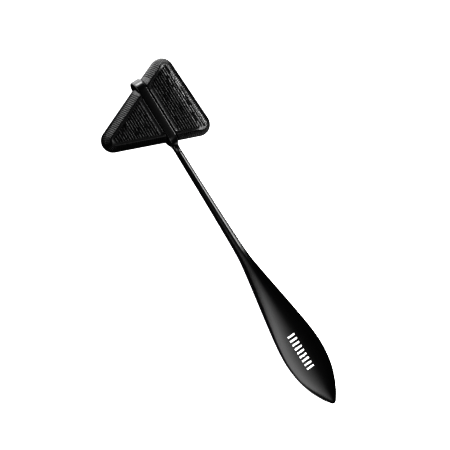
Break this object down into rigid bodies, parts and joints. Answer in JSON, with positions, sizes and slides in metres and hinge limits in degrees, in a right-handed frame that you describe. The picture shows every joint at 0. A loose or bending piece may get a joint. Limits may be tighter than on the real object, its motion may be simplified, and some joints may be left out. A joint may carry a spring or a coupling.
{
  "type": "reflex hammer",
  "caption": "Reflex hammer with a triangular rubber head held in a metal loop, and a slim stem that widens into a flat, leaf-shaped grip with a pointed end.",
  "frame": {"origin": "centre of the hammer's bounding box at table height, with the head lying flat on its back", "axes": "+X along the handle from the grip's point to the head, +Y to the head's pointed end, +Z out of the head's face"},
  "size_m": [0.1974, 0.0532, 0.013],
  "materials": {
    "rubber": "satin black, finely ribbed",
    "black_paint": "smooth satin black coating"
  },
  "bodies": {
    "root": {"rubber_head": "rubber", "head_loop": "black_paint", "handle": "black_paint"}
  },
  "joints": []
}
